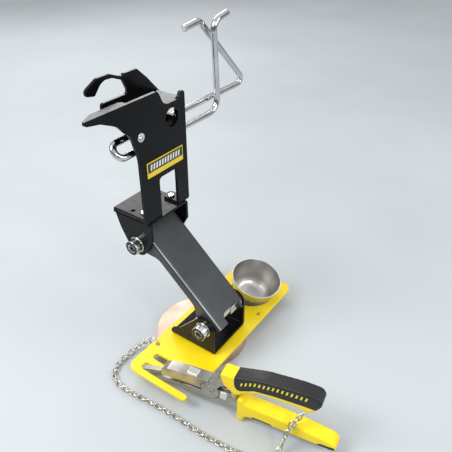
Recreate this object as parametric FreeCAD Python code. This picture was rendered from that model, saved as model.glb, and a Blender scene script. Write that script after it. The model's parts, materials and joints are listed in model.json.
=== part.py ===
"""Magnetic bench stand that holds a welding gun: base plate, pliers rack, dip cup, jointed arm and cradle.

Millimetres. The origin is the centre of the magnet's underside, +Z is up, +X points to the dip cup and
-Y to the pliers' handles. One STEP file is written for each separate piece.
"""
import FreeCAD, Part
import math
import os

V = FreeCAD.Vector
X, Y, Z = V(1, 0, 0), V(0, 1, 0), V(0, 0, 1)

# ---- driving dimensions -------------------------------------------------------------------------
SHEET = 3.0                      # every bracket and the base plate are cut from 3 mm steel
RUN = 0.05                       # radial play of a screw or pin in its hole
THROUGH = 80.0                   # half the length of a drill that goes right through a piece
MAGNET_R, MAGNET_H = 50.0, 12.0
MAGNET_BACK, MAGNET_WALL, POLE_R = 5.0, 4.5, 15.0
PLATE_TOP = MAGNET_H + SHEET
PLATE_X = (-91.2, 115.5)
PLATE_Y = (-49.0, 28.0)
SMALL_HOLE_R = 2.5
BRACKET_SCREWS = [(-17.0, 8.0), (17.0, 8.0)]
SCREW_DEPTH = 8.0                # length of the M5 screws below the lower bracket's floor
RING_HOLE = (-49.9, 21.7)
ACCESSORY_HOLE = (51.3, -40.8)
CUP_HOLE, CUP_HOLE_R = (79.0, -14.0), 26.0
M4_R, M5_R, M8_R, M10_R = 2.0, 2.5, 4.0, 5.0
BOLT_DEPTH = 9.0                 # how far the central M8 bolt is threaded into the magnet's pole
M8_WASHER_R, M8_WASHER_H = 8.0, 1.6
M8_HEAD_H, M8_FLATS = 5.3, 13.0
PIVOT_LOW = (-24.5, 46.5)        # Y and Z of the two horizontal pivots
ARM_LENGTH, ARM_ANGLE = 110.0, 42.0
PIVOT_HIGH = (
    PIVOT_LOW[0] + ARM_LENGTH * math.cos(math.radians(ARM_ANGLE)),
    PIVOT_LOW[1] + ARM_LENGTH * math.sin(math.radians(ARM_ANGLE)),
)
BRACKET_X = 29.0                 # half the outer width of both clevis brackets
EAR_X = BRACKET_X - SHEET
ARM_X = 24.5                     # half the outer width of the arm
ARM_WEB = 16.0                   # outer face of the arm's web above the line through its pivots
SLEEVE_R, SLEEVE_END = 7.0, 9.0  # the arm's sleeve, and where it meets the weld nut
WELD_NUT_FLATS = 16.0
PIVOT_HEAD_R, PIVOT_HEAD_H, PIVOT_SOCKET = 8.0, 8.0, 8.0
WASHER_R, WASHER_H = 8.8, 1.2
THRUST_R, THRUST_H = 10.5, 0.9
TOP_PLATE = 152.0
HEAD_HOLES = [(-20.0, 68.0), (20.0, 68.0)]
FOOT_SCREWS = [(-20.5, 52.0), (20.5, 52.0)]
M4_NUT_FLATS, M4_NUT_H = 7.0, 3.2
HEAD_X = 33.0                    # half the width of the head's sheets
FRONT_Y, REAR_Y = 38.0, 73.5     # front faces of the head's two upright sheets
TROUGH_Z = 258.0                 # underside of the trough floor between the head's sheets
BIG_HOLE, BIG_HOLE_R = (13.5, 247.5), 9.0
EYELET, EYELET_R, EYELET_FLANGE_R = (-29.0, 243.0), 3.0, 4.2
LIP_BOTTOM = 246.0
LIPS = [(-34.0, -15.0), (23.5, 32.5)]     # spans along X where the rear sheet meets the front one
WELD_LEG = 2.6
LABEL_X, LABEL_Z, LABEL_T = 25.5, (200.0, 215.5), 0.8
WIRE_R = 3.25
LEG_FRONT = (46.0, 227.0)        # Y and Z of the wire hook's front and rear legs
LEG_REAR = (55.4, 238.3)
TABS_X, TAB_T = (-6.0, 18.0), 4.0
CUP_RIM, CUP_RIM_R, CUP_FLOOR_R = V(80, -20.5, 39), 29.5, 21.0
CUP_DEPTH, CUP_WALL = 34.0, 1.0
CUP_TILT, CUP_LEAN = 17.0, -98.0 # how far it leans, and which way round from +X
PLIERS_NOSE, PLIERS_TURN = V(-81, 16, 0), -80.5
PLIERS_PIVOT = V(81, 0, 25)      # in the pliers' own frame: x along them, y across, z up
PLIERS_HALF, NOSE_HALF = 5.75, 2.7
LAP_R, LAP_GAP = 10.0, 0.15      # the half-lapped discs at the pliers' pivot
PIN_R, PIN_HEAD_R, PIN_HEAD_H = 4.0, 5.5, 0.6
SLOT_HALF = 0.9                  # half the width of the pin's screwdriver slot
GRIP_HALF = 7.5
LUG_WIRE_R = 1.2
RING_R, RING_WIRE_R = 6.0, 0.9
CHAIN_R = 2.6


# ---- shape helpers ------------------------------------------------------------------------------
def path_edges(corners, closed):
    """Edges through corners given as (point, radius): straight runs joined by tangent arcs."""
    count, bends = len(corners), []
    for i, (point, radius) in enumerate(corners):
        if radius == 0:
            bends.append((point, None, point))
            continue
        back = (corners[i - 1][0] - point).normalize()
        ahead = (corners[(i + 1) % count][0] - point).normalize()
        half = back.getAngle(ahead) / 2
        middle = (back + ahead).normalize()
        reach = radius / math.tan(half)
        nearest = point + middle * (radius / math.sin(half) - radius)
        bends.append((point + back * reach, nearest, point + ahead * reach))
    edges = []
    for i, (start, nearest, end) in enumerate(bends):
        if nearest is not None:
            edges.append(Part.Arc(start, nearest, end).toShape())
        if i + 1 < count or closed:
            following = bends[(i + 1) % count][0]
            if end.distanceToPoint(following) > 1e-4:
                edges.append(Part.LineSegment(end, following).toShape())
    return edges


def slab(axis, outline, start, end):
    """A flat piece between start and end on axis; outline holds (u, v) or (u, v, corner radius)."""
    lift = {
        "x": lambda u, v: V(start, u, v),
        "y": lambda u, v: V(u, start, v),
        "z": lambda u, v: V(u, v, start),
    }[axis]
    along = {"x": X, "y": Y, "z": Z}[axis]
    corners = [(lift(*corner[:2]), corner[2] if len(corner) > 2 else 0) for corner in outline]
    face = Part.Face(Part.Wire(path_edges(corners, closed=True)))
    return face.extrude(along * (end - start))


def box(x, y, z):
    return Part.makeBox(x[1] - x[0], y[1] - y[0], z[1] - z[0], V(x[0], y[0], z[0]))


def rod(start, end, radius):
    return Part.makeCylinder(radius, (end - start).Length, start, end - start)


def drilled(shape, centre, axis, radius):
    """The shape with one hole right through it."""
    return shape.cut(rod(centre - axis * THROUGH, centre + axis * THROUGH, radius))


def tube(start, end, radius, bore):
    return rod(start, end, radius).cut(rod(start, end, bore))


def hexagon(start, end, across_flats):
    """A hexagonal prism on the axis from start to end."""
    axis = end - start
    corner = across_flats / math.sqrt(3)
    ring = [V(corner * math.cos(a), corner * math.sin(a), 0) for a in (math.pi / 3 * k for k in range(6))]
    prism = Part.Face(Part.makePolygon(ring + ring[:1])).extrude(Z * axis.Length)
    prism.Placement = FreeCAD.Placement(start, FreeCAD.Rotation(Z, axis))
    return prism


def bent_rod(corners, radius):
    """A round rod along straight runs and tangent arcs."""
    path = Part.Wire(path_edges(corners, closed=False))
    start = corners[0][0]
    ring = Part.Wire(Part.makeCircle(radius, start, corners[1][0] - start))
    return path.makePipeShell([ring], True, False)


def fused(pieces):
    return pieces[0].fuse(list(pieces[1:])).removeSplitter()


def save(name, *solids):
    """One node: a single solid, or identical loose pieces side by side."""
    shape = solids[0] if len(solids) == 1 else Part.makeCompound(list(solids))
    if not shape.isValid():
        raise ValueError(name + " is not a valid shape")
    shape.exportStep("parts/" + name + ".step")


# ---- magnetic foot and base plate ---------------------------------------------------------------
def on_axis(z):
    return V(0, 0, z)


def magnet_foot():
    """Pot magnet: a steel shell with a central pole, a ferrite ring in it, and the bolt through the stack."""
    cavity_top, cavity_r = MAGNET_H - MAGNET_BACK, MAGNET_R - MAGNET_WALL
    shell = rod(on_axis(0), on_axis(MAGNET_H), MAGNET_R)
    shell = shell.cut(rod(on_axis(MAGNET_H - BOLT_DEPTH - 0.5), on_axis(THROUGH), M8_R + RUN))
    shell = shell.cut(tube(on_axis(-1), on_axis(cavity_top), cavity_r, POLE_R))
    for x, y in BRACKET_SCREWS:
        shell = shell.cut(rod(V(x, y, cavity_top - 1), V(x, y, MAGNET_H + 1), M5_R + RUN))
    ring = tube(on_axis(0.4), on_axis(cavity_top), cavity_r - 0.2, POLE_R + 0.2)
    floor = PLATE_TOP + SHEET
    under_head = floor + M8_WASHER_H
    washer = tube(on_axis(floor), on_axis(under_head), M8_WASHER_R, M8_R + RUN)
    head = hexagon(on_axis(under_head), on_axis(under_head + M8_HEAD_H), M8_FLATS)
    bolt = fused([head, rod(on_axis(MAGNET_H - BOLT_DEPTH), on_axis(floor + 2), M8_R)])
    save("magnet_shell", shell)
    save("magnet_ring", ring)
    save("magnet_washer", washer)
    save("magnet_bolt", bolt)


def base_plate():
    """Plate with the pliers rack at its left end: an outer finger and a short tongue beside two slots."""
    left, right = PLATE_X
    front, back = PLATE_Y
    outline = [
        (left, back, 10), (left, -47, 3.2), (-84.5, -47, 3.2), (-84.5, 16, 4),
        (-75, 16, 4), (-75, -28, 3.4), (-68, -28, 3.4), (-68, 14.7, 3.9),
        (-60, 14.7, 3.9), (-60, front, 4), (right, front, 8), (right, back, 8),
    ]
    plate = slab("z", outline, MAGNET_H, PLATE_TOP)
    holes = [(RING_HOLE, SMALL_HOLE_R), (ACCESSORY_HOLE, SMALL_HOLE_R), (CUP_HOLE, CUP_HOLE_R)]
    holes += [((0, 0), M8_R + RUN)]
    holes += [(place, M5_R + RUN) for place in BRACKET_SCREWS]
    for (x, y), radius in holes:
        plate = drilled(plate, V(x, y, PLATE_TOP), Z, radius)
    save("base_plate", plate)


def dip_cup():
    """Spun steel bowl that stands loose in the plate's round hole and leans to the front."""
    inner_floor = CUP_WALL - CUP_DEPTH
    profile = [
        (0, -CUP_DEPTH), (CUP_FLOOR_R, -CUP_DEPTH, 12), (CUP_RIM_R, 0), (CUP_RIM_R - CUP_WALL, 0),
        (CUP_FLOOR_R - CUP_WALL, inner_floor, 11), (0, inner_floor),
    ]
    corners = [(V(c[0], 0, c[1]), c[2] if len(c) > 2 else 0) for c in profile]
    bowl = Part.Face(Part.Wire(path_edges(corners, closed=True))).revolve(V(0, 0, 0), Z, 360)
    lean = math.radians(CUP_LEAN)
    tilt_axis = Z.cross(V(math.cos(lean), math.sin(lean), 0))
    bowl.Placement = FreeCAD.Placement(CUP_RIM, FreeCAD.Rotation(tilt_axis, CUP_TILT))
    save("dip_cup", bowl)


# ---- brackets, arm and pivots -------------------------------------------------------------------
def pivot_at(place, x):
    return V(x, place[0], place[1])


def lower_bracket():
    """Open clevis folded from sheet, with rounded ears that slope down to the back."""
    low, back = PLATE_TOP, 20.0
    section = [
        (-BRACKET_X, 80), (-BRACKET_X, low, 4), (BRACKET_X, low, 4), (BRACKET_X, 80),
        (EAR_X, 80), (EAR_X, low + SHEET, 1), (-EAR_X, low + SHEET, 1), (-EAR_X, 80),
    ]
    side = [(-37, low), (-37, 79.1, 12.5), (9, 29, 8), (back, 23, 4), (back, low)]
    bracket = slab("y", section, -40, back).common(slab("x", side, -40, 40))
    bracket = drilled(bracket, pivot_at(PIVOT_LOW, 0), X, M10_R + RUN)
    bracket = drilled(bracket, on_axis(low), Z, M8_R + RUN)
    for x, y in BRACKET_SCREWS:
        bracket = drilled(bracket, V(x, y, low), Z, M5_R + RUN)
    save("lower_bracket", bracket)


def screw_down(x, y, top, length, radius, head_r, head_h):
    """Button-head socket screw that points down, with its head standing on top."""
    head = rod(V(x, y, top), V(x, y, top + head_h), head_r)
    middle = top + head_h / 2
    rim = [edge for edge in head.Edges if edge.BoundBox.ZMin > middle and len(edge.Vertexes) == 1]
    head = head.makeFillet(head_h * 0.6, rim)
    shank = rod(V(x, y, top - length), V(x, y, top + 0.5), radius)
    socket = hexagon(V(x, y, top + head_h * 0.4), V(x, y, top + head_h + 1), radius * 1.2)
    return fused([head, shank]).cut(socket)


def bracket_screws():
    top = PLATE_TOP + SHEET
    screws = [screw_down(x, y, top, SCREW_DEPTH, M5_R, 4.75, 2.75) for x, y in BRACKET_SCREWS]
    save("bracket_screws", *screws)


def upper_bracket():
    """The same clevis upside down, carrying the head on its top plate."""
    section = [
        (-BRACKET_X, 90), (-BRACKET_X, TOP_PLATE, 4), (BRACKET_X, TOP_PLATE, 4), (BRACKET_X, 90),
        (EAR_X, 90), (EAR_X, TOP_PLATE - SHEET, 1), (-EAR_X, TOP_PLATE - SHEET, 1), (-EAR_X, 90),
    ]
    side = [(37, 155), (37, 130, 5), (57.1, 93.1, 13), (79, 134, 6), (84, 149), (89, 149), (89, 155)]
    plan = [(-40, 37), (40, 37), (BRACKET_X, 89, 6), (-BRACKET_X, 89, 6)]
    bracket = slab("y", section, 30, 95).common(slab("x", side, -40, 40)).common(slab("z", plan, 80, 160))
    bracket = drilled(bracket, pivot_at(PIVOT_HIGH, 0), X, M10_R + RUN)
    for x, y in HEAD_HOLES:
        bracket = drilled(bracket, V(x, y, TOP_PLATE), Z, SMALL_HOLE_R)
    for x, y in FOOT_SCREWS:
        bracket = drilled(bracket, V(x, y, TOP_PLATE), Z, M4_R + RUN)
    save("upper_bracket", bracket)


def arm_placed(shape):
    """From the arm's own frame (y along it from the lower pivot, z out of its web) to its place."""
    shape.Placement = FreeCAD.Placement(pivot_at(PIVOT_LOW, 0), FreeCAD.Rotation(X, ARM_ANGLE))
    return shape


def arm():
    """Folded channel with its web on top; the flanges end in round lobes at the pivots."""
    lobe, waist = 11.0, 5.5
    inner_x, inner_web = ARM_X - SHEET, ARM_WEB - SHEET
    section = [
        (-ARM_X, ARM_WEB, 4), (ARM_X, ARM_WEB, 4), (ARM_X, -20), (inner_x, -20),
        (inner_x, inner_web, 1), (-inner_x, inner_web, 1), (-inner_x, -20), (-ARM_X, -20),
    ]
    end = ARM_LENGTH + lobe
    side = [
        (-lobe, 20), (-lobe, -23, lobe), (25, waist, 14), (ARM_LENGTH - 25, waist, 14),
        (end, -23, lobe), (end, 20),
    ]
    mouth = [(-11, -20), (-11, 0, 6), (13, 0, 3), (17, -3, 3), (26, -3), (26, -20)]
    channel = slab("y", section, -20, end + 10).common(slab("x", side, -40, 40))
    channel = channel.cut(slab("z", mouth, 8, 20))
    channel = drilled(channel, V(0, end, 0), Z, 4.0)
    for along in (0, ARM_LENGTH):
        channel = drilled(channel, V(0, along, 0), X, M10_R + RUN)
    save("arm_channel", arm_placed(channel))


def pivot_fasteners(label, place):
    """Socket-head bolt from the left, its washer, thrust washers, and the arm's sleeve and weld nut."""
    ear_face, inside = -BRACKET_X, ARM_X - SHEET
    under_head = ear_face - WASHER_H
    head_end = under_head - PIVOT_HEAD_H
    hole_r = M10_R + RUN
    head = rod(pivot_at(place, head_end), pivot_at(place, under_head), PIVOT_HEAD_R)
    shank = rod(pivot_at(place, under_head - 1), pivot_at(place, BRACKET_X + 0.6), M10_R)
    socket = hexagon(pivot_at(place, head_end - 1), pivot_at(place, head_end + 5), PIVOT_SOCKET)
    washer = tube(pivot_at(place, under_head), pivot_at(place, ear_face), WASHER_R, hole_r)
    thrust = [
        tube(pivot_at(place, x), pivot_at(place, x + THRUST_H), THRUST_R, hole_r)
        for x in (-EAR_X, EAR_X - THRUST_H)
    ]
    sleeve = tube(pivot_at(place, -inside), pivot_at(place, SLEEVE_END), SLEEVE_R, hole_r)
    nut = hexagon(pivot_at(place, SLEEVE_END), pivot_at(place, inside), WELD_NUT_FLATS)
    save(label + "_pivot_bolt", fused([head, shank]).cut(socket))
    save(label + "_pivot_washer", washer)
    save(label + "_thrust_washers", *thrust)
    save(label + "_pivot_sleeve", sleeve)
    save(label + "_weld_nut", drilled(nut, pivot_at(place, 0), X, hole_r))


# ---- head: cradle sheets, label and wire hook ---------------------------------------------------
def front_cradle():
    """Front upright of the gun cradle: two legs, a panel, and a horn with its top edge folded back."""
    outline = [
        (-HEAD_X, 152, 2), (-HEAD_X, 222, 40), (-40, 246, 20), (-55, 262, 20), (-72, 270, 10), (-88, 273, 2),
        (-86, 277, 2), (-3, 277, 5), (4, 262, 8), (24, 262, 5), (27, 268, 3), (HEAD_X, 268, 3),
        (HEAD_X, 152, 2), (16, 152), (16, 194, 4), (-9.5, 194, 4), (-9.5, 152),
    ]
    sheet = slab("y", outline, FRONT_Y, FRONT_Y + SHEET)
    flange_y = FRONT_Y + 9
    flange = [(-88, FRONT_Y), (-40, FRONT_Y), (-40, flange_y, 4), (-74, flange_y, 4), (-88, FRONT_Y + 2)]
    pieces = [sheet, slab("z", flange, 274, 277)]
    for x_out, x_in in ((-BRACKET_X, -9.5), (16, BRACKET_X)):
        foot = [(x_out, FRONT_Y), (x_in, FRONT_Y), (x_in, 60, 4), (x_out, 60, 4)]
        pieces.append(slab("z", foot, TOP_PLATE, TOP_PLATE + SHEET))
    cradle = fused(pieces)
    for (x, z), radius in ((BIG_HOLE, BIG_HOLE_R), (EYELET, EYELET_R)):
        cradle = drilled(cradle, V(x, FRONT_Y, z), Y, radius)
    for x, y in FOOT_SCREWS:
        cradle = drilled(cradle, V(x, y, TOP_PLATE), Z, M4_R + RUN)
    save("front_cradle", cradle)


def rear_cradle():
    """Rear upright with a thin arched finger, a trough floor, and two lips welded behind the front sheet."""
    outline = [
        (-37, 249, 3), (44, 249, 2), (44, 253, 3), (34, 263, 10), (22, 276, 10), (10, 287, 4), (-6, 287, 3),
        (-10, 285, 6), (-24, 291, 14), (-38, 291, 9), (-53, 283.5, 4), (-52, 278.5, 2), (-43, 276.5, 2.5),
        (-35.5, 284.5, 6), (-30, 287.2, 8), (-21, 286.6, 10), (-9, 281.5, 3), (-3, 268, 3), (-37, 268, 3),
    ]
    sheet = slab("y", outline, REAR_Y, REAR_Y + SHEET)
    lip_y, trough_top = FRONT_Y + SHEET, TROUGH_Z + SHEET
    trough = box((-37, HEAD_X), (lip_y, REAR_Y + 1), (TROUGH_Z, trough_top))
    lips = [box(span, (lip_y, lip_y + SHEET), (LIP_BOTTOM, trough_top)) for span in LIPS]
    save("rear_cradle", fused([sheet, trough] + lips))


def cradle_welds():
    """Fillet welds along the lower edges of the two lips, clear of the eyelet."""
    back = FRONT_Y + SHEET
    fillet = [(back, LIP_BOTTOM), (back + WELD_LEG, LIP_BOTTOM), (back, LIP_BOTTOM - WELD_LEG)]
    spans = [(EYELET[0] + 5, LIPS[0][1] - 1), (LIPS[1][0] + 1, LIPS[1][1] - 1)]
    save("cradle_welds", *[slab("x", fillet, start, end) for start, end in spans])


def front_eyelet():
    """A flanged eyelet pressed into the front sheet."""
    x, z = EYELET
    flange = rod(V(x, FRONT_Y - 0.8, z), V(x, FRONT_Y, z), EYELET_FLANGE_R)
    barrel = rod(V(x, FRONT_Y - 0.1, z), V(x, FRONT_Y + SHEET + 0.6, z), EYELET_R - RUN)
    save("front_eyelet", drilled(fused([flange, barrel]), V(x, FRONT_Y, z), Y, EYELET_R - 0.7))


def head_fasteners():
    """Screws through the cradle's feet and the top plate, and their nuts below."""
    top = TOP_PLATE + SHEET
    save("foot_screws", *[screw_down(x, y, top, 11, M4_R, 3.8, 2.2) for x, y in FOOT_SCREWS])
    nuts = []
    below = TOP_PLATE - SHEET
    for x, y in FOOT_SCREWS:
        nut = hexagon(V(x, y, below - M4_NUT_H), V(x, y, below), M4_NUT_FLATS)
        nuts.append(drilled(nut, V(x, y, below), Z, M4_R + RUN))
    save("foot_nuts", *nuts)


def label_plate():
    """Blank identification plate on the front panel."""
    save("label_plate", box((-LABEL_X, LABEL_X), (FRONT_Y - LABEL_T, FRONT_Y), LABEL_Z))


def wire_hook():
    """One rod bent to a flat loop at the left and two prongs at the right that hold coiled hose."""
    loop_r = math.dist(LEG_FRONT, LEG_REAR) / 2 - 0.01
    front_y, front_z = LEG_FRONT
    rear_y, rear_z = LEG_REAR
    loop_x = -49.9
    corners = [
        (V(114, front_y, 321), 0), (V(90.5, front_y, 316.5), 11), (V(96, front_y, front_z), 13),
        (V(loop_x, front_y, front_z), loop_r), (V(loop_x, rear_y, rear_z), loop_r),
        (V(160, rear_y, rear_z), 5.5), (V(80, rear_y, 318), 10), (V(57, rear_y, 315), 0),
    ]
    save("wire_hook", bent_rod(corners, WIRE_R))


def hook_tabs():
    """Two tabs welded behind the front sheet; both legs of the hook pass through them."""
    tabs = []
    back = FRONT_Y + SHEET
    outline = [(back, 219), (50, 219, 4), (63, 236, 5), (63, 247, 4), (back, 247)]
    for x in TABS_X:
        tab = slab("x", outline, x, x + TAB_T)
        for y, z in (LEG_FRONT, LEG_REAR):
            tab = drilled(tab, V(x, y, z), X, WIRE_R + RUN)
        tabs.append(tab)
    save("hook_tabs", *tabs)


# ---- pliers -------------------------------------------------------------------------------------
def pliers_placed(shape):
    shape.Placement = FreeCAD.Placement(PLIERS_NOSE, FreeCAD.Rotation(Z, PLIERS_TURN))
    return shape


def across(outline, half):
    """A slab across the pliers, as far to the left as to the right."""
    return slab("y", outline, -half, half)


def lap_disc(radius, start, end):
    return rod(PLIERS_PIVOT + Y * start, PLIERS_PIVOT + Y * end, radius)


UPPER_GRIP = [
    (92, 58, 3), (95.5, 43, 5), (107, 34.5, 3), (112, 36, 4), (118, 43, 8), (133, 48.5, 20),
    (168, 51, 15), (177, 47.5, 4), (184, 55, 5), (189, 64, 6), (185, 71, 6), (168, 71, 60),
    (135, 67, 60), (104, 57.5, 8),
]
LOWER_GRIP = [
    (109.5, 0.4, 1.5), (110, 31, 3), (115.5, 30, 2), (118, 26, 2), (142, 25.5, 60), (172, 24, 60),
    (202, 20, 5), (207, 15, 3.5), (204, 10.5, 3), (126, 10.5, 10), (118, 8, 3), (116, 0.4, 1.2),
]
UPPER_TANG = [
    (80.4, 33), (80.4, 39, 1.5), (88, 43, 8), (94, 50), (118, 56), (118, 47), (102, 42, 5),
    (92, 36.5, 4), (88, 30),
]
LOWER_TANG = [
    (81.2, 17), (81.2, 11, 1), (108, 12.5), (124, 13.5), (124, 21), (112, 22, 3), (101.5, 31.5, 2),
    (91, 30.5, 1), (88, 26),
]
UPPER_SPLIT = [
    (107, 80), (107, 46, 4), (112, 42.5, 2), (126, 50.5, 10), (146, 53.8), (172, 55.8), (184, 56),
    (188, 54), (200, 54), (200, 80),
]
LOWER_SPLIT = [
    (125, 0), (125.5, 14, 2), (144, 13.5, 2), (147, 11.7), (188, 11.7), (191, 14.5), (204, 15.5), (212, 0),
]
LUG = [(171.5, 54), (172.2, 45.2, 3), (179.8, 46, 3), (180.2, 54)]


def lug_wire(radius):
    corners = [(V(corner[0], 0, corner[1]), corner[2] if len(corner) > 2 else 0) for corner in LUG]
    return bent_rod(corners, radius)


def pliers_halves():
    """Two crossing halves, half-lapped at the pivot: each is one jaw and the opposite handle's tang."""
    lower_jaw = [
        (40, 15.4), (47, 15.4, 2), (53, 10, 3), (80.6, 11, 1), (80.6, 17), (74, 20.5), (62, 21), (40, 17.4),
    ]
    lower_nose = [(3, 3.4), (3, 1, 0.8), (20, 7.5), (44, 15.6), (50, 17), (50, 19), (27, 13.4)]
    nose_plan = [
        (2, -2), (2, 2), (24, 1.2), (45, -2.3), (51, -2.3), (51, -PLIERS_HALF), (45, -PLIERS_HALF),
    ]
    upper_jaw = [
        (27, 21), (27, 28, 2), (34, 33, 4), (56, 36), (79.8, 37.5, 1), (79.8, 32), (74, 23.2), (62, 23.4),
    ]
    upper_nose = [(2.5, 11), (2.5, 14, 1.5), (25, 21.6), (30, 23), (30, 21)]
    pin_hole = lap_disc(PIN_R + RUN, -THROUGH, THROUGH)

    bent_nose = across(lower_nose, 10).common(slab("z", nose_plan, 0, 40))
    upper = fused([across(lower_jaw, PLIERS_HALF), bent_nose, across(UPPER_TANG, PLIERS_HALF)])
    upper = upper.cut(lap_disc(LAP_R + 0.5, -LAP_GAP, THROUGH)).fuse(lap_disc(LAP_R, -PLIERS_HALF, -LAP_GAP))
    lower = fused([
        across(upper_jaw, PLIERS_HALF), across(upper_nose, NOSE_HALF), across(LOWER_TANG, PLIERS_HALF),
    ])
    lower = lower.cut(lap_disc(LAP_R + 0.5, -THROUGH, LAP_GAP)).fuse(lap_disc(LAP_R, LAP_GAP, PLIERS_HALF))
    save("pliers_upper_half", pliers_placed(upper.cut(pin_hole).removeSplitter()))
    save("pliers_lower_half", pliers_placed(lower.cut(pin_hole).removeSplitter()))


def pliers_grips():
    """Each handle has a hard yellow grip with a collar, and a soft black layer let into its outer side."""
    upper = across(UPPER_GRIP, GRIP_HALF).cut(across(UPPER_TANG, PLIERS_HALF)).cut(lug_wire(LUG_WIRE_R + RUN))
    lower = across(LOWER_GRIP, GRIP_HALF).cut(across(LOWER_TANG, PLIERS_HALF))
    above = across(UPPER_SPLIT, 2 * GRIP_HALF)
    below = across(LOWER_SPLIT, 2 * GRIP_HALF)
    save("upper_grip", pliers_placed(upper.cut(above)))
    save("upper_grip_overlay", pliers_placed(upper.common(above)))
    save("lower_grip", pliers_placed(lower.cut(below)))
    save("lower_grip_overlay", pliers_placed(lower.common(below)))


def pliers_small_parts():
    """Slotted pivot pin, hammer block, wire-cutter insert, opening spring and the chain's lug."""
    outer = PLIERS_HALF + PIN_HEAD_H
    slot = box(
        (PLIERS_PIVOT.x - PIN_HEAD_R, PLIERS_PIVOT.x + PIN_HEAD_R), (-outer - 1, 1 - outer),
        (PLIERS_PIVOT.z - SLOT_HALF, PLIERS_PIVOT.z + SLOT_HALF),
    )
    heads = [lap_disc(PIN_HEAD_R, -outer, -PLIERS_HALF), lap_disc(PIN_HEAD_R, PLIERS_HALF, outer)]
    pin = fused([lap_disc(PIN_R, -outer, outer)] + heads).cut(slot)
    save("pliers_pivot_pin", pliers_placed(pin))
    hammer = slab("y", [(56.5, 35), (56.5, 40, 1), (68, 40, 1), (68, 35)], -PLIERS_HALF, 2)
    jaw_top = across([(40, 20), (40, 33.95), (56, 36), (79.8, 37.5), (79.8, 20)], 2 * PLIERS_HALF)
    save("pliers_hammer_face", pliers_placed(hammer.cut(jaw_top)))
    cutter = [(91.8, 21.5, 1), (92.6, 29.6, 1), (100.2, 30.6, 1), (98, 20.8, 1)]
    save("pliers_cutter", pliers_placed(slab("y", cutter, -PLIERS_HALF - 0.8, -PLIERS_HALF)))
    leaf = [(93, 31.6), (100.6, 32.3, 1.2), (96.3, 38.5), (95.5, 38.1), (98.8, 33.1, 0.6), (93, 32.5)]
    save("pliers_spring", pliers_placed(across(leaf, 3.0)))
    save("chain_lug", pliers_placed(lug_wire(LUG_WIRE_R)))


# ---- tether chain -------------------------------------------------------------------------------
def plate_ring():
    centre = V(RING_HOLE[0], PLATE_Y[1] - 0.3, MAGNET_H + SHEET / 2)
    save("plate_ring", Part.makeTorus(RING_R, RING_WIRE_R, centre, X))


CHAIN_ROUTE = [
    (-50.8, 36.4, 12.2), (-54.2, 41.2, 8.0), (-60.6, 44.8, 4.2), (-70.0, 46.6, 2.8),
    (-83.0, 46.4, 2.8), (-95.8, 43.4, 2.8), (-104.2, 34.6, 2.8), (-107.4, 19.0, 2.8),
    (-105.6, -3.0, 2.8), (-103.2, -27.0, 2.8), (-102.6, -52.0, 2.8), (-103.4, -76.0, 2.8),
    (-101.6, -97.0, 2.8), (-99.8, -113.0, 2.8), (-97.0, -126.0, 2.8), (-92.2, -136.8, 2.8),
    (-85.6, -142.4, 3.2), (-79.4, -144.7, 5.2), (-74.9, -145.33, 8.23), (-71.83, -145.45, 12.35),
]
DROP_ROUTE = [
    (-71.83, -145.45, 12.35), (-67.931, -145.602, 17.582), (-62.75, -148.75, 28.4), (-58.1, -152.33, 36.8),
    (-53.89, -155.68, 41.9),
]


def chain_tube(name, route):
    """The chain's envelope as a round tube: straight runs joined by the largest tangent arcs."""
    points = [V(*point) for point in route]
    corners = [(points[0], 0)]
    for before, point, after in zip(points, points[1:], points[2:]):
        shorter = min((point - before).Length, (after - point).Length)
        turn = (point - before).getAngle(after - point)
        corners.append((point, 0.45 * shorter / math.tan(turn / 2)))
    corners.append((points[-1], 0))
    save(name, bent_rod(corners, CHAIN_R))


def main():
    os.makedirs("parts", exist_ok=True)
    magnet_foot()
    base_plate()
    dip_cup()
    lower_bracket()
    bracket_screws()
    upper_bracket()
    arm()
    pivot_fasteners("lower", PIVOT_LOW)
    pivot_fasteners("upper", PIVOT_HIGH)
    front_cradle()
    rear_cradle()
    cradle_welds()
    front_eyelet()
    head_fasteners()
    label_plate()
    wire_hook()
    hook_tabs()
    pliers_halves()
    pliers_grips()
    pliers_small_parts()
    plate_ring()
    chain_tube("tether_chain", CHAIN_ROUTE)
    chain_tube("tether_chain_end", DROP_ROUTE)


main()
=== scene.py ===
"""The visual model of a magnetic stand for a welding gun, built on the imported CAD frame.

Every CAD node is shown as a detailed piece: its own mesh with the edges rounded as folded, cut or moulded
material is, and a finish of its own. The chain's links, the print and the moulded grips are made here.
"""
import json
import math

import bmesh
import bpy
from mathutils import Matrix, Vector


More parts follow.
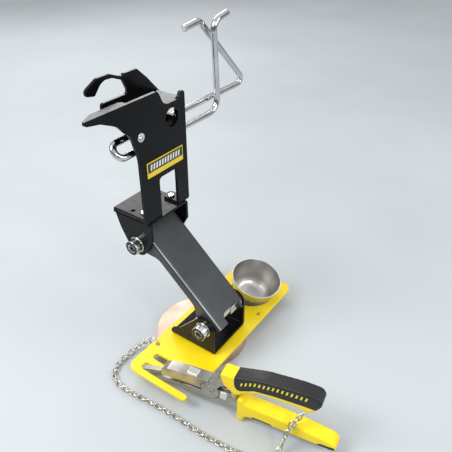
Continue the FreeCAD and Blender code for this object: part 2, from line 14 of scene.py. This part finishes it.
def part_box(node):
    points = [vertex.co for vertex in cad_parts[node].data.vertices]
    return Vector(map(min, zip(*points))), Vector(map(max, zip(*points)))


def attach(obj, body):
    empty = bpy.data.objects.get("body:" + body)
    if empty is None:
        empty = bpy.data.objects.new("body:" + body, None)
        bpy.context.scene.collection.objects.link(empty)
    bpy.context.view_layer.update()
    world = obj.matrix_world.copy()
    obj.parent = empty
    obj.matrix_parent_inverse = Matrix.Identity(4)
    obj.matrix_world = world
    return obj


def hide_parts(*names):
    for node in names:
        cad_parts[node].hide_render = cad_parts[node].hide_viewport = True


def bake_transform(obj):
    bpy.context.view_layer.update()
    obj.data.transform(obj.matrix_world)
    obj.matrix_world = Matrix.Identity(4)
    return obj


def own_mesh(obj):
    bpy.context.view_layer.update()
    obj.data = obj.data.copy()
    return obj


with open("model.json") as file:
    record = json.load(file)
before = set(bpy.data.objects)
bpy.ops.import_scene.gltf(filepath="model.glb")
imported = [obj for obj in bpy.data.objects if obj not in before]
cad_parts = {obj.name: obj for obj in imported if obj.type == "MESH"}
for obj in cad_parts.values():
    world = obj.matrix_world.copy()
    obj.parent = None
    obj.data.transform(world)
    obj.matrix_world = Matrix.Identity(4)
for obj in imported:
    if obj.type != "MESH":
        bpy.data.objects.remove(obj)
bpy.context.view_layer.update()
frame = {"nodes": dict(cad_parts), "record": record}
NODES = frame["nodes"]
BODY_OF = {node: body for body, nodes in frame["record"]["behaviour"]["bodies"].items() for node in nodes}
SLOT_OF = {entry["node"]: entry["material_slot"] for entry in frame["record"]["subparts"]}
MM = 0.001


# ---- materials ----------------------------------------------------------------------------------
class Surface:
    """A node material under construction: a Principled shader and the textures that vary it."""

    def __init__(self, name, **constants):
        self.material = bpy.data.materials.new(name)
        self.material.use_nodes = True
        self.tree = self.material.node_tree
        self.shader = self.tree.nodes["Principled BSDF"]
        for socket, value in constants.items():
            self.shader.inputs[socket.replace("_", " ")].default_value = value
        self.place = self.tree.nodes.new("ShaderNodeTexCoord").outputs["Object"]

    def node(self, kind):
        return self.tree.nodes.new(kind)

    def stretched(self, scale):
        mapping = self.node("ShaderNodeMapping")
        mapping.inputs["Scale"].default_value = scale
        self.tree.links.new(self.place, mapping.inputs["Vector"])
        return mapping.outputs["Vector"]

    def noise(self, size_mm, detail=4.0, stretch=(1, 1, 1), roughness=0.55):
        """Noise from 0 to 1 whose features are about size_mm across, longer where stretch is small."""
        texture = self.node("ShaderNodeTexNoise")
        texture.inputs["Scale"].default_value = 1000.0 / size_mm
        texture.inputs["Detail"].default_value = detail
        texture.inputs["Roughness"].default_value = roughness
        self.tree.links.new(self.stretched(stretch), texture.inputs["Vector"])
        return texture.outputs["Fac"]

    def ramp(self, value, stops):
        """Colours or greys along value; stops are (position, colour)."""
        ramp = self.node("ShaderNodeValToRGB")
        elements = ramp.color_ramp.elements
        while len(elements) < len(stops):
            elements.new(0.5)
        for element, (position, colour) in zip(elements, stops):
            element.position = position
            element.color = (*colour, 1.0) if hasattr(colour, "__len__") else (colour, colour, colour, 1.0)
        self.tree.links.new(value, ramp.inputs["Fac"])
        return ramp.outputs["Color"]

    def colour(self, value):
        self.tree.links.new(value, self.shader.inputs["Base Color"])
        return self

    def rough(self, value, low, high):
        """Roughness from low to high as value goes from 0.3 to 0.7."""
        spread = self.node("ShaderNodeMapRange")
        for socket, number in (("From Min", 0.3), ("From Max", 0.7), ("To Min", low), ("To Max", high)):
            spread.inputs[socket].default_value = number
        self.tree.links.new(value, spread.inputs["Value"])
        self.tree.links.new(spread.outputs["Result"], self.shader.inputs["Roughness"])
        return self

    def bump(self, value, height_mm, strength=1.0):
        bump = self.node("ShaderNodeBump")
        bump.inputs["Distance"].default_value = height_mm * MM
        bump.inputs["Strength"].default_value = strength
        self.tree.links.new(value, bump.inputs["Height"])
        self.tree.links.new(bump.outputs["Normal"], self.shader.inputs["Normal"])
        return self


def painted(name, tone, shade, low, high, peel_mm=1.4, coat=0.0, shine=0.5):
    """Powder coat: a faint tone change over the piece, orange peel, and handling marks in the gloss."""
    surface = Surface(name, Coat_Weight=coat, Coat_Roughness=0.12, Specular_IOR_Level=shine)
    surface.colour(surface.ramp(surface.noise(35, 5), [(0.35, shade), (0.65, tone)]))
    surface.rough(surface.noise(9, 8, roughness=0.7), low, high)
    surface.bump(surface.noise(peel_mm, 2), 0.05, 0.5)
    return surface.material


def plated(name, tone, shade, low, high, stretch=(1, 1, 1), grain_mm=0.5, spots=16):
    """Bare or plated metal: cloudy tone, fine grain in the direction it was worked, and uneven gloss."""
    surface = Surface(name, Metallic=1.0)
    surface.colour(surface.ramp(surface.noise(spots, 6), [(0.3, shade), (0.7, tone)]))
    surface.rough(surface.noise(grain_mm * 5, 8, stretch, 0.7), low, high)
    surface.bump(surface.noise(grain_mm, 3, stretch), 0.02, 0.5)
    return surface.material


def moulded(name, tone, shade, low, high, grain_mm=0.5, height_mm=0.05):
    """Moulded plastic or rubber with a fine spark-eroded grain."""
    surface = Surface(name)
    surface.colour(surface.ramp(surface.noise(12, 6), [(0.3, shade), (0.7, tone)]))
    surface.rough(surface.noise(4, 6), low, high)
    surface.bump(surface.noise(grain_mm, 2), height_mm, 0.6)
    return surface.material


MATERIALS = {
    "yellow_paint": painted(
        "yellow_powder_coat", (0.93, 0.71, 0.004), (0.86, 0.63, 0.002), 0.28, 0.42, coat=0.25
    ),
    "black_paint": painted(
        "black_powder_coat", (0.0050, 0.0050, 0.0055), (0.0025, 0.0025, 0.003), 0.16, 0.30, shine=0.14
    ),
    "dark_grey_paint": painted(
        "grey_powder_coat", (0.040, 0.046, 0.050), (0.024, 0.028, 0.031), 0.30, 0.44
    ),
    "magnet_plating": plated(
        "copper_nickel_plating", (0.74, 0.55, 0.43), (0.50, 0.30, 0.23), 0.28, 0.46, spots=22
    ),
    "ferrite": moulded("ferrite_ceramic", (0.06, 0.06, 0.065), (0.035, 0.035, 0.04), 0.5, 0.7, 0.8, 0.06),
    "zinc": plated("bright_zinc", (0.80, 0.81, 0.80), (0.62, 0.63, 0.62), 0.16, 0.32),
    "nylon": moulded("natural_nylon", (0.80, 0.79, 0.72), (0.70, 0.69, 0.62), 0.35, 0.5),
    "chrome_wire": plated("chrome", (0.66, 0.66, 0.67), (0.52, 0.52, 0.54), 0.04, 0.11, grain_mm=1.5),
    "stainless": plated(
        "spun_stainless", (0.60, 0.59, 0.57), (0.49, 0.48, 0.46), 0.26, 0.38, (1, 1, 9), 0.5, 40
    ),
    "label": painted("printed_yellow", (0.82, 0.62, 0.004), (0.74, 0.54, 0.003), 0.16, 0.26, coat=0.3),
    "pliers_steel": plated(
        "satin_nickel", (0.50, 0.48, 0.43), (0.33, 0.31, 0.27), 0.26, 0.44, (1, 1, 5), 0.4
    ),
    "grip_yellow": moulded(
        "yellow_vinyl", (0.93, 0.72, 0.004), (0.87, 0.65, 0.003), 0.34, 0.48, 0.6, 0.03
    ),
    "grip_black": moulded(
        "black_soft_grip", (0.010, 0.010, 0.011), (0.006, 0.006, 0.0065), 0.38, 0.52, 0.4, 0.05
    ),
    "chain_nickel": plated(
        "chain_nickel", (0.72, 0.68, 0.60), (0.42, 0.38, 0.32), 0.16, 0.34, grain_mm=0.3, spots=5
    ),
}
PRINT_BLACK = painted(
    "printed_black", (0.008, 0.008, 0.008), (0.005, 0.005, 0.005), 0.14, 0.24, coat=0.3
)
PRINT_WHITE = painted("printed_white", (0.80, 0.80, 0.78), (0.70, 0.70, 0.67), 0.22, 0.34)
GROUND_STEEL_AND_RIM_HIGHLIGHT = plated(
    "ground_steel_and_painted_rim_highlight", (0.92, 0.92, 0.90), (0.80, 0.80, 0.78), 0.30, 0.46, (1, 8, 1), 0.3
)
BOLT_END_SHADE = plated("painted_shade_bolt_end", (0.055, 0.055, 0.06), (0.03, 0.03, 0.034), 0.22, 0.40, spots=6)
FOLD_HIGHLIGHT_PAINT = painted("painted_fold_highlight", (0.46, 0.48, 0.49), (0.26, 0.28, 0.29), 0.24, 0.38)


# ---- mesh helpers -------------------------------------------------------------------------------
def linked(name, data):
    """A new object in the scene."""
    obj = bpy.data.objects.new(name, data)
    bpy.context.scene.collection.objects.link(obj)
    return obj


def from_bmesh(name, mesh):
    """A new object in the scene that takes over the bmesh's shape."""
    data = bpy.data.meshes.new(name)
    mesh.to_mesh(data)
    mesh.free()
    return linked(name, data)


def clean_copy(node):
    """The CAD node's mesh with shared corners and whole flat faces."""
    mesh = bmesh.new()
    mesh.from_mesh(NODES[node].data)
    bmesh.ops.remove_doubles(mesh, verts=mesh.verts, dist=2e-6)
    bmesh.ops.dissolve_limit(
        mesh, angle_limit=math.radians(0.6), verts=mesh.verts, edges=mesh.edges, use_dissolve_boundaries=False
    )
    return mesh


def round_edges(mesh, width_mm, segments, angle=32):
    sharp = [e for e in mesh.edges if e.is_manifold and e.calc_face_angle() > math.radians(angle)]
    bmesh.ops.bevel(
        mesh, geom=sharp, offset=width_mm * MM, offset_type="OFFSET", segments=segments, profile=0.5,
        affect="EDGES", clamp_overlap=True,
    )


def as_object(name, mesh, smooth_angle=38):
    """A smooth-shaded object with the edges beyond smooth_angle kept sharp."""
    obj = from_bmesh(name, mesh)
    obj.data.shade_smooth()
    obj.data.set_sharp_from_angle(angle=math.radians(smooth_angle))
    flatten = obj.modifiers.new("even_normals", "WEIGHTED_NORMAL")
    flatten.keep_sharp = True
    return obj


def finish_piece(obj, body, material_slot):
    if not obj.data.materials:
        obj.data.materials.append(MATERIALS[material_slot])
    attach(obj, body)
    return obj


def detailed(node, width_mm, segments=2, angle=32):
    """The node with rounded edges, in place of the plain one."""
    mesh = clean_copy(node)
    if width_mm:
        round_edges(mesh, width_mm, segments, angle)
    obj = as_object(node + "_piece", mesh)
    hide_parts(node)
    return finish_piece(obj, BODY_OF[node], SLOT_OF[node])


EDGE_MM = {
    "base_plate": 0.5, "lower_bracket": 0.5, "upper_bracket": 0.5, "arm_channel": 0.5, "front_cradle": 0.5,
    "rear_cradle": 0.5, "hook_tabs": 0.4, "magnet_shell": 0.9, "magnet_ring": 0.3, "magnet_bolt": 0.4,
    "magnet_washer": 0.25, "lower_pivot_bolt": 0.5, "upper_pivot_bolt": 0.5, "lower_pivot_washer": 0.25,
    "upper_pivot_washer": 0.25, "lower_pivot_sleeve": 0.3, "upper_pivot_sleeve": 0.3, "lower_weld_nut": 0.4,
    "upper_weld_nut": 0.4, "lower_thrust_washers": 0.15, "upper_thrust_washers": 0.15, "bracket_screws": 0.2,
    "foot_screws": 0.2, "foot_nuts": 0.3, "cradle_welds": 0.5, "front_eyelet": 0.25, "label_plate": 0.2,
    "wire_hook": 0.8, "pliers_lower_half": 0.6, "pliers_upper_half": 0.6, "pliers_hammer_face": 0.5,
    "pliers_cutter": 0.2, "pliers_pivot_pin": 0.15, "pliers_spring": 0.15, "chain_lug": 0.3,
    "plate_ring": 0.0, "dip_cup": 0.3,
}
WIDE_EDGE_MM = 0.7                # wider edges than this get a third segment
for cad_node, edge in EDGE_MM.items():
    detailed(cad_node, edge, 3 if edge > WIDE_EDGE_MM else 2)
for bright in ("pliers_hammer_face", "pliers_cutter"):
    bpy.data.objects[bright + "_piece"].data.materials[0] = GROUND_STEEL_AND_RIM_HIGHLIGHT


def repaint_faces(node, material, chosen):
    """Another material on the faces of a piece that chosen(face) picks; here it paints light and shade."""
    mesh = bpy.data.objects[node + "_piece"].data
    mesh.materials.append(material)
    for face in mesh.polygons:
        if chosen(face):
            face.material_index = len(mesh.materials) - 1


# where the painted highlight on the cup's rim lies: the rim's centre, the cup's lean and the band's depth
CUP_RIM = Vector((80, -20.5, 39))
CUP_LEAN, CUP_TILT = math.radians(-98), math.radians(17)
RIM_MM = 0.8                      # how far down from the rim's plane the bright band reaches
ARM_ANGLE = math.radians(42)
# where the painted highlight lies on the arm's left fold: its turn from the web, and how wide it spreads
FOLD_TURN, FOLD_SPREAD = math.radians(38), math.radians(9)


def paint_light_and_shade():
    """Painted shade on the end faces of the pivot bolts, a painted highlight on the cup's rim, and a painted
    highlight along the arm's left fold.
    """
    for node in ("lower_pivot_bolt", "upper_pivot_bolt"):
        # painted shade: the bolt end faces that look to -X are painted dark
        repaint_faces(node, BOLT_END_SHADE, lambda face: face.normal.x < -0.95)
    tilt = Vector((math.cos(CUP_LEAN), math.sin(CUP_LEAN), 0)) * math.sin(CUP_TILT)
    axis = (tilt + Vector((0, 0, math.cos(CUP_TILT)))).normalized()
    rim = CUP_RIM * MM
    # painted highlight: the cup's faces near the rim's plane are painted bright
    repaint_faces("dip_cup", GROUND_STEEL_AND_RIM_HIGHLIGHT, lambda face: (face.center - rim).dot(axis) > -RIM_MM * MM)
    web = Vector((0, -math.sin(ARM_ANGLE), math.cos(ARM_ANGLE)))
    fold = web * math.cos(FOLD_TURN) - Vector((math.sin(FOLD_TURN), 0, 0))
    # painted highlight: a lighter strip along the crest of the arm's left fold
    repaint_faces("arm_channel", FOLD_HIGHLIGHT_PAINT, lambda face: face.normal.dot(fold) > math.cos(FOLD_SPREAD))


paint_light_and_shade()


def let_spring_give():
    """The leaf spring is fixed to the upper handle; here it only gets a mesh of its own."""
    leaf = bpy.data.objects["pliers_spring_piece"]
    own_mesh(leaf)


let_spring_give()


# ---- label --------------------------------------------------------------------------------------
def add_prism(mesh, near_outline, far_outline):
    """A closed solid between two outlines with as many corners."""
    near = [mesh.verts.new(corner) for corner in near_outline]
    far = [mesh.verts.new(corner) for corner in far_outline]
    mesh.faces.new(near)
    mesh.faces.new(far[::-1])
    count = len(near)
    for k in range(count):
        mesh.faces.new((near[k], far[k], far[(k + 1) % count], near[(k + 1) % count]))


def add_raised(mesh, corners, outward):
    """A flat shape that stands out from a face by the vector outward."""
    add_prism(mesh, corners, [Vector(corner) + outward for corner in corners])


def thin_shapes(name, outlines, y, thickness_mm, body, slot, material):
    """Flat shapes printed on a face that looks to the front: outlines hold (x, z) corners in metres."""
    mesh = bmesh.new()
    for outline in outlines:
        add_raised(mesh, [(x, y, z) for x, z in outline], Vector((0, -thickness_mm * MM, 0)))
    bmesh.ops.recalc_face_normals(mesh, faces=mesh.faces)
    obj = as_object(name, mesh)
    obj.data.materials.append(material)
    return finish_piece(obj, body, slot)


def label_print():
    """A black field over a yellow plate, and a row of plain slanted bars on it."""
    low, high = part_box("label_plate")
    border, band = 1.0 * MM, 5.2 * MM
    left, right, bottom, top = low[0] + border, high[0] - border, low[2] + band, high[2] - border
    field = [(left, bottom), (right, bottom), (right, top), (left, top)]
    field_mm, bar_mm = 0.12, 0.08
    thin_shapes("label_field", [field], low[1], field_mm, "head", "label", PRINT_BLACK)
    bars, count = [], 11
    side_margin, foot_margin = 3 * MM, 1.7 * MM
    pitch = (right - left - 2 * side_margin) / count
    wide, lean = 0.55 * pitch, 0.9 * MM
    foot = bottom + foot_margin
    head = foot + top - bottom - 2 * foot_margin
    for k in range(count):
        x = left + side_margin + k * pitch
        bars.append([(x, foot), (x + wide, foot), (x + wide + lean, head), (x + lean, head)])
    thin_shapes("label_bars", bars, low[1] - field_mm * MM, bar_mm, "head", "label", PRINT_WHITE)


label_print()


# ---- pliers' grips ------------------------------------------------------------------------------
# The pliers' own frame, in mm along, across and up from the nose: the one the CAD draws them in.
NOSE, TURN = Vector((-0.081, 0.016, 0)), Matrix.Rotation(math.radians(-80.5), 3, "Z")
UPPER_SEAM = [
    (107, 80), (107, 50), (108, 46), (110, 43.6), (113, 43.3), (120, 47), (127, 50.8), (146, 53.8),
    (172, 55.8), (184, 56), (188, 54), (200, 54), (200, 80),
]
LOWER_SEAM = [
    (125, 0), (125.8, 13.5), (143.5, 13.5), (147, 11.7), (188, 11.7), (191, 14.5), (204, 15.5), (212, 0),
]
CUTTER_HALF = 20                  # half the width of the seam's cutter, wider than a handle
VOXEL_MM, MELT_STEPS = 0.7, 26


def pliers_point(along_mm, across_mm, up_mm):
    return NOSE + TURN @ Vector((along_mm * MM, across_mm * MM, up_mm * MM))


def seam_cutter(name, outline):
    """A slab right across a handle, inside the outline where the black layer is."""
    mesh = bmesh.new()
    add_prism(mesh, *([pliers_point(x, side, z) for x, z in outline] for side in (-CUTTER_HALF, CUTTER_HALF)))
    bmesh.ops.recalc_face_normals(mesh, faces=mesh.faces)
    return from_bmesh(name, mesh)


def applied(obj):
    """The object's mesh with its modifiers applied."""
    mesh = bpy.data.meshes.new_from_object(obj.evaluated_get(bpy.context.evaluated_depsgraph_get()))
    obj.modifiers.clear()
    obj.data = mesh
    return obj


def moulded_handle(name, nodes):
    """Both layers of a handle as one closed skin with its corners melted round."""
    mesh = bmesh.new()
    for node in nodes:
        mesh.from_mesh(NODES[node].data)
    obj = from_bmesh(name, mesh)
    remesh = obj.modifiers.new("remesh", "REMESH")
    remesh.mode, remesh.voxel_size = "VOXEL", VOXEL_MM * MM
    melt = obj.modifiers.new("melt", "SMOOTH")
    melt.factor, melt.iterations = 0.5, MELT_STEPS
    return applied(obj)


def grip(name, skin, cutter, operation):
    """One layer of the handle, cut from the melted skin at the seam."""
    obj = linked(name + "_piece", skin.data.copy())
    cut = obj.modifiers.new("seam", "BOOLEAN")
    cut.operation, cut.solver, cut.object = operation, "EXACT", cutter
    applied(obj)
    obj.data.shade_smooth()
    obj.data.set_sharp_from_angle(angle=math.radians(50))
    obj.data.materials.clear()
    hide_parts(name)
    return finish_piece(obj, BODY_OF[name], SLOT_OF[name])


def grips():
    for side, outline in (("upper", UPPER_SEAM), ("lower", LOWER_SEAM)):
        skin = moulded_handle(side + "_skin", [side + "_grip", side + "_grip_overlay"])
        cutter = seam_cutter(side + "_seam", outline)
        grip(side + "_grip", skin, cutter, "DIFFERENCE")
        grip(side + "_grip_overlay", skin, cutter, "INTERSECT")
        for helper in (skin, cutter):
            bpy.data.objects.remove(helper)


grips()


MARKS_LINE = [(113, 53.0), (124, 58.8), (146, 63.2), (173, 65.2)]
MARKS_FACE, MARKS_THICK = -7.35, 0.22


def height_on_line(line, s):
    for (s0, z0), (s1, z1) in zip(line, line[1:]):
        if s <= s1:
            return z0 + (z1 - z0) * (s - s0) / (s1 - s0)
    return line[-1][1]


def grip_marks():
    """A row of plain slanted bars printed along the black side of the upper handle."""
    mesh = bmesh.new()
    count, wide, tall, lean = 15, 1.5, 4.4, 1.2
    start, end = MARKS_LINE[0][0], MARKS_LINE[-1][0]
    outward = pliers_point(0, -MARKS_THICK, 0) - pliers_point(0, 0, 0)
    for k in range(count):
        s = start + (end - start) * k / (count - 1)
        z = height_on_line(MARKS_LINE, s)
        low, high = z - tall / 2, z + tall / 2
        corners = [(s, low), (s + wide, low), (s + wide + lean, high), (s + lean, high)]
        add_raised(mesh, [pliers_point(x, MARKS_FACE, up) for x, up in corners], outward)
    bmesh.ops.recalc_face_normals(mesh, faces=mesh.faces)
    obj = as_object("upper_grip_marks", mesh)
    finish_piece(obj, "pliers_upper", "grip_yellow")


grip_marks()


# ---- tether chain -------------------------------------------------------------------------------
LINK_PITCH = 5.1 * MM
RING_LINK = {"long_mm": 10.0, "wide_mm": 8.0, "wire_mm": 0.9, "twist": 0.15}
OVAL_POWER = 0.75                 # a link is an ellipse at 1 and squarer below it
MAIN_ROUTE = [
    (-50.8, 36.4, 12.2), (-54.2, 41.2, 8.0), (-60.6, 44.8, 4.2), (-70.0, 46.6, 2.8),
    (-83.0, 46.4, 2.8), (-95.8, 43.4, 2.8), (-104.2, 34.6, 2.8), (-107.4, 19.0, 2.8),
    (-105.6, -3.0, 2.8), (-103.2, -27.0, 2.8), (-102.6, -52.0, 2.8), (-103.4, -76.0, 2.8),
    (-101.6, -97.0, 2.8), (-99.8, -113.0, 2.8), (-97.0, -126.0, 2.8), (-92.2, -136.8, 2.8),
    (-85.6, -142.4, 3.2), (-79.4, -144.7, 5.2), (-74.9, -145.33, 8.23), (-71.83, -145.45, 12.35),
]
DROP_ROUTE = [
    (-71.83, -145.45, 12.35), (-67.931, -145.602, 17.582), (-62.75, -148.75, 28.4),
    (-58.1, -152.33, 36.8), (-53.89, -155.68, 41.9),
]


def route_points(name, route):
    """Points along the smooth curve that the route's corners pull on, from one end to the other."""
    curve = bpy.data.curves.new(name, "CURVE")
    curve.dimensions = "3D"
    spline = curve.splines.new("NURBS")
    spline.points.add(len(route) - 1)
    for point, place in zip(spline.points, route):
        point.co = (*(MM * value for value in place), 1.0)
    spline.order_u = 3
    spline.use_endpoint_u = True
    spline.resolution_u = 24
    holder = linked(name, curve)
    mesh = bpy.data.meshes.new_from_object(holder)
    points = [vertex.co.copy() for vertex in mesh.vertices]
    bpy.data.objects.remove(holder)
    bpy.data.meshes.remove(mesh)
    return points


def along(points, distance):
    """The place and direction at a distance along the points."""
    for a, b in zip(points, points[1:]):
        step = (b - a).length
        if distance <= step or b is points[-1]:
            return a + (b - a) * (distance / max(step, 1e-9)), (b - a).normalized()
        distance -= step


def length_of(points):
    return sum((b - a).length for a, b in zip(points, points[1:]))


def add_link(mesh, centre, direction, roll, long_mm=8.0, wide_mm=5.4, wire_mm=0.72, twist=0.5):
    """One twisted link: an oval of wire whose two ends are turned against each other."""
    side = direction.cross(Vector((0, 0, 1)))
    side = side.normalized() if side.length > 1e-4 else Vector((1, 0, 0))
    up = side.cross(direction)
    turned_side = side * math.cos(roll) + up * math.sin(roll)
    turned_up = up * math.cos(roll) - side * math.sin(roll)
    steps, around = 20, 8
    half_long, half_wide = (long_mm / 2 - wire_mm) * MM, (wide_mm / 2 - wire_mm) * MM
    rings = []

    def loop_point(k):
        a = math.tau * k / steps
        reach = half_long * math.copysign(abs(math.cos(a)) ** OVAL_POWER, math.cos(a))
        across = half_wide * math.copysign(abs(math.sin(a)) ** OVAL_POWER, math.sin(a))
        lean = twist * math.cos(a)
        return (
            centre + direction * reach + turned_side * (across * math.cos(lean))
            + turned_up * (across * math.sin(lean))
        )

    for k in range(steps):
        here, ahead, back = loop_point(k), loop_point(k + 1), loop_point(k - 1)
        tangent = (ahead - back).normalized()
        outward = (here - centre).normalized()
        outward = (outward - tangent * outward.dot(tangent)).normalized()
        other = tangent.cross(outward)
        ring = []
        for j in range(around):
            b = math.tau * j / around
            spoke = outward * math.cos(b) + other * math.sin(b)
            ring.append(mesh.verts.new(here + spoke * wire_mm * MM))
        rings.append(ring)
    for k in range(steps):
        first, second = rings[k], rings[(k + 1) % steps]
        for j in range(around):
            mesh.faces.new((first[j], second[j], second[(j + 1) % around], first[(j + 1) % around]))


def chain(name, node, route, rings=()):
    """Links threaded one through the next along the route, wider ones at the indices in rings.
    """
    points = route_points(name + "_route", route)
    total = length_of(points)
    count = round(total / LINK_PITCH)
    mesh = bmesh.new()
    for k in range(count):
        centre, direction = along(points, total * (k + 0.5) / count)
        roll = math.radians(45 + 90 * (k % 2) + 9 * math.sin(k * 1.7))
        add_link(mesh, centre, direction, roll, **(RING_LINK if k in rings else {}))
    bmesh.ops.recalc_face_normals(mesh, faces=mesh.faces)
    obj = as_object(name, mesh, 80)
    obj.data.materials.append(MATERIALS["chain_nickel"])
    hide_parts(node)
    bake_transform(obj)
    return obj


chain("tether_chain_links", "tether_chain", MAIN_ROUTE)
chain(
    "tether_chain_end_links", "tether_chain_end", DROP_ROUTE,
    rings=(3, 4),
)


# ---- stage --------------------------------------------------------------------------------------
STAND_MIDDLE = Vector((0, 0, 0.12))
FLOOR_GAP = 0.0003                # the floor lies this far below the magnet, so the two never flicker


def floor():
    bpy.ops.mesh.primitive_plane_add(size=8, location=(0, 0, -FLOOR_GAP))
    plane = bpy.context.object
    plane.name = "floor"
    surface = Surface("pale_floor")
    tones = [(0.3, (0.42, 0.455, 0.47)), (0.7, (0.47, 0.505, 0.52))]
    surface.colour(surface.ramp(surface.noise(400, 3), tones))
    surface.rough(surface.noise(60, 4), 0.55, 0.7)
    plane.data.materials.append(surface.material)


def softbox(name, place, size, power):
    """A soft rectangular light that looks at the middle of the stand."""
    light = bpy.data.lights.new(name, "AREA")
    light.shape = "RECTANGLE"
    light.size, light.size_y = size
    light.energy = power
    lamp = linked(name, light)
    lamp.location = place
    lamp.rotation_euler = (STAND_MIDDLE - Vector(place)).to_track_quat("-Z", "Y").to_euler()


def sky():
    """Soft light that is bright overhead and dim near the horizon, so that bright metal shows its form."""
    world = bpy.data.worlds.new("studio")
    bpy.context.scene.world = world
    world.use_nodes = True
    tree = world.node_tree
    place = tree.nodes.new("ShaderNodeTexCoord").outputs["Generated"]
    height = tree.nodes.new("ShaderNodeSeparateXYZ")
    ramp = tree.nodes.new("ShaderNodeValToRGB")
    tree.links.new(place, height.inputs["Vector"])
    tree.links.new(height.outputs["Z"], ramp.inputs["Fac"])
    tree.links.new(ramp.outputs["Color"], tree.nodes["Background"].inputs["Color"])
    stops = [(0.0, 0.22), (0.20, 0.16), (0.45, 0.75), (1.0, 1.0)]
    while len(ramp.color_ramp.elements) < len(stops):
        ramp.color_ramp.elements.new(0.5)
    for element, (position, grey) in zip(ramp.color_ramp.elements, stops):
        element.position, element.color = position, (grey, grey, grey * 1.02, 1.0)
    tree.nodes["Background"].inputs["Strength"].default_value = 0.95


def stage():
    floor()
    sky()
    softbox("key_light", (-0.75, 0.55, 1.05), (0.6, 0.6), 14)
    softbox("fill_light", (0.5, -1.3, 0.8), (0.9, 0.7), 6)
    softbox("back_light", (0.9, 1.2, 0.9), (0.8, 0.6), 8)
    softbox("edge_light", (-0.30, -1.05, 0.95), (0.25, 0.25), 4)
    bpy.context.scene.view_settings.view_transform = "Standard"


def camera():
    """Above the stand's left front, with the plate, the arm and the head all in view."""
    data = bpy.data.cameras.new("camera")
    data.lens, data.sensor_width = 41.73, 36.0
    data.clip_start, data.clip_end = 0.01, 20
    obj = linked("camera", data)
    obj.location = (-0.331, -0.265, 0.435)
    down, turn = math.radians(34.08), math.radians(35.1)
    ahead = Vector((math.cos(down) * math.cos(turn), math.cos(down) * math.sin(turn), -math.sin(down)))
    obj.rotation_euler = ahead.to_track_quat("-Z", "Y").to_euler()
    bpy.context.scene.camera = obj


stage()
camera()
